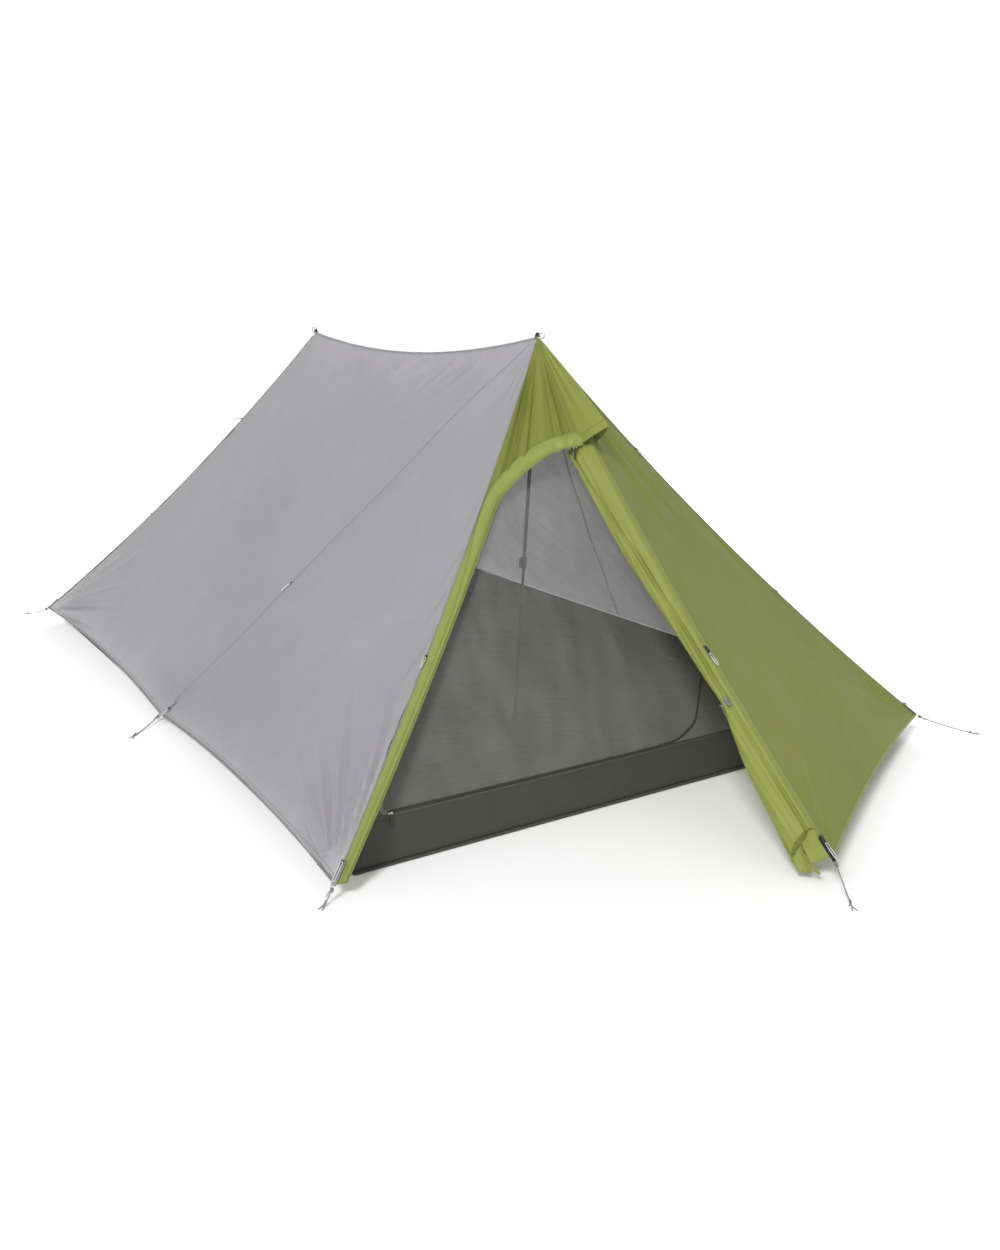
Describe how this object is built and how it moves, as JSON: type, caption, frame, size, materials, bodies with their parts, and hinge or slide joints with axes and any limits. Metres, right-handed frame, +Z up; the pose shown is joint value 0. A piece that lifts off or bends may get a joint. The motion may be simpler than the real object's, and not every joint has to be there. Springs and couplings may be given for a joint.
{
  "type": "ridge tent",
  "caption": "Two-pole ridge tent with a fly, vestibules with vent hoods, a rolled-back door, and a mesh inner tent with a bathtub floor.",
  "frame": {"origin": "on the ground under the middle of the ridge", "axes": "+Z up; the ridge and the floor's long side run along Y; the open front door faces -Y and the rear vestibule +Y"},
  "size_m": [2.2179, 4.1678, 1.2123],
  "materials": {
    "fly_grey": "coated ripstop nylon, light sheen",
    "fly_green": "coated ripstop nylon, light sheen",
    "bathtub_cloth": "coated nylon, satin",
    "insect_mesh": "open insect mesh",
    "webbing": "woven nylon tape",
    "guy_cord": "braided cord with a reflective fleck",
    "pole_tube": "dark anodised",
    "black_plastic": "moulded",
    "foot_rubber": "moulded",
    "zip_metal": "plated"
  },
  "bodies": {
    "tent": {"fly_left_side": "fly_grey", "fly_right_side": "fly_grey", "front_gable": "fly_green", "front_door_strip": "fly_green", "front_right_panel": "fly_green", "rear_left_panel": "fly_green", "rear_right_panel": "fly_green", "front_hood": "fly_green", "rear_hood": "fly_green", "front_rolled_door": "fly_green", "inner_floor": "bathtub_cloth", "inner_front_wall": "bathtub_cloth", "inner_rear_wall": "bathtub_cloth", "inner_left_wall": "bathtub_cloth", "inner_right_wall": "bathtub_cloth", "inner_front_mesh": "insect_mesh", "inner_rear_mesh": "insect_mesh", "inner_left_mesh": "insect_mesh", "inner_right_mesh": "insect_mesh", "front_pole_upper": "pole_tube", "front_pole_tip": "black_plastic", "front_lock_clamp": "black_plastic", "rear_pole_upper": "pole_tube", "rear_pole_tip": "black_plastic", "rear_lock_clamp": "black_plastic", "front_apex_cap": "webbing", "rear_apex_cap": "webbing", "front_left_tab": "webbing", "front_right_tab": "webbing", "rear_left_tab": "webbing", "rear_right_tab": "webbing", "left_side_tab": "webbing", "right_side_tab": "webbing", "front_nose_tab": "webbing", "rear_nose_tab": "webbing", "front_left_guyline": "guy_cord", "front_right_guyline": "guy_cord", "rear_left_guyline": "guy_cord", "rear_right_guyline": "guy_cord", "left_side_guyline": "guy_cord", "right_side_guyline": "guy_cord", "front_nose_guyline": "guy_cord", "rear_nose_guyline": "guy_cord"},
    "front_lower_pole": {"front_pole_lower": "pole_tube", "front_pole_foot": "foot_rubber"},
    "rear_lower_pole": {"rear_pole_lower": "pole_tube", "rear_pole_foot": "foot_rubber"},
    "front_lever": {"front_lock_lever": "black_plastic"},
    "rear_lever": {"rear_lock_lever": "black_plastic"},
    "inner_slider": {"inner_door_slider": "zip_metal"},
    "inner_pull": {"inner_door_pull": "webbing"},
    "front_slider": {"front_door_slider": "zip_metal"},
    "front_pull": {"front_door_pull": "webbing"},
    "rear_slider": {"rear_door_slider": "zip_metal"},
    "rear_pull": {"rear_door_pull": "webbing"},
    "toggle": {"door_tie_toggle": "black_plastic"}
  },
  "joints": [
    {"name": "front_pole_slide", "type": "slide", "parent": "tent", "child": "front_lower_pole", "axis": [0, -0.0971, 0.9953], "range_m": [0, 0.4]},
    {"name": "rear_pole_slide", "type": "slide", "parent": "tent", "child": "rear_lower_pole", "axis": [0, 0.0971, 0.9953], "range_m": [0, 0.4]},
    {"name": "front_lever_hinge", "type": "hinge", "parent": "tent", "child": "front_lever", "pos_m": [-0.0128, -0.71484, 0.54323], "axis": [0, 0.9953, 0.0971], "range_deg": [0, 110]},
    {"name": "rear_lever_hinge", "type": "hinge", "parent": "tent", "child": "rear_lever", "pos_m": [-0.0128, 0.71484, 0.54323], "axis": [0, 0.9953, -0.0971], "range_deg": [0, 110]},
    {"name": "inner_zip_travel", "type": "slide", "parent": "tent", "child": "inner_slider", "axis": [1, 0, 0], "range_m": [0, 0.83]},
    {"name": "inner_pull_swing", "type": "hinge", "parent": "inner_slider", "child": "inner_pull", "pos_m": [-0.79, -1.3397, 0.122], "axis": [-1, 0, 0], "range_deg": [0, 150]},
    {"name": "front_zip_travel", "type": "slide", "parent": "tent", "child": "front_slider", "axis": [-0.9104, 0.3368, -0.2403], "range_m": [0, 0.05]},
    {"name": "front_pull_swing", "type": "hinge", "parent": "front_slider", "child": "front_pull", "pos_m": [-0.04628, -1.03104, 0.91235], "axis": [-0.9104, 0.3368, -0.2403], "range_deg": [0, 60]},
    {"name": "rear_zip_travel", "type": "slide", "parent": "tent", "child": "rear_slider", "axis": [-0.6312, -0.4055, 0.6611], "range_m": [0, 0.8]},
    {"name": "rear_pull_swing", "type": "hinge", "parent": "rear_slider", "child": "rear_pull", "pos_m": [0.92026, 1.42263, 0.11626], "axis": [0.6948, -0.6744, 0.2497], "range_deg": [0, 150]},
    {"name": "toggle_turn", "type": "hinge", "parent": "tent", "child": "toggle", "pos_m": [-0.02059, -1.6382, 0.3471], "axis": [-0.7502, -0.4384, 0.4951], "range_deg": [-80, 80]}
  ]
}
